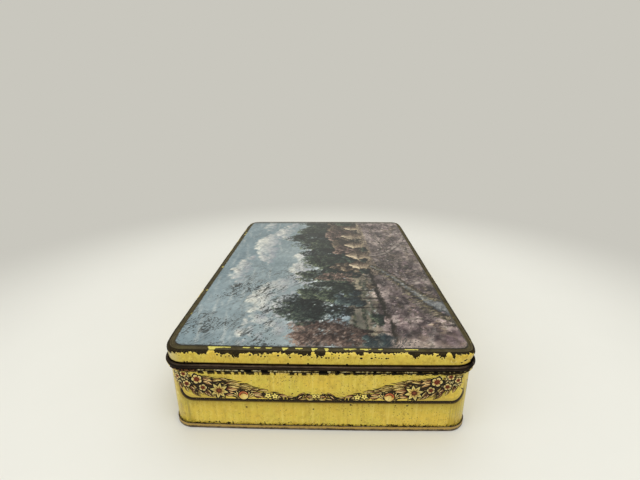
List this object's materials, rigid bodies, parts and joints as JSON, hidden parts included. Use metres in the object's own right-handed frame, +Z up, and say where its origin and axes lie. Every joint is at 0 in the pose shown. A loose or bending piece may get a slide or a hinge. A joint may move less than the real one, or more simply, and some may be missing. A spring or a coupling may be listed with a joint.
{
  "type": "biscuit tin",
  "caption": "Low rectangular tinplate biscuit tin with rounded corners: a lift-off lid with a raised panel and curled hem on a beaded body with a crimped-on base.",
  "frame": {"origin": "middle of the footprint, on the plane that the base rim stands on", "axes": "+Z up through the lid, +Y along the long side, +X across the short side. In the picture the short side at -Y faces the camera."},
  "size_m": [0.1716, 0.2486, 0.0525],
  "materials": {
    "lid": "printed and varnished tinplate, satin, scratched, with worn brown edges",
    "body": "yellow printed and varnished tinplate with a floral festoon, satin, chipped along the bead",
    "base": "gold-lacquered tinplate, dulled, with fine scratches"
  },
  "bodies": {
    "tin": {"body_wall": "body", "base_pan": "base"},
    "lid": {"lid_shell": "lid"}
  },
  "joints": [
    {"name": "lid_lift", "type": "slide", "parent": "tin", "child": "lid", "axis": [0, 0, 1], "range_m": [0, 0.1]}
  ]
}
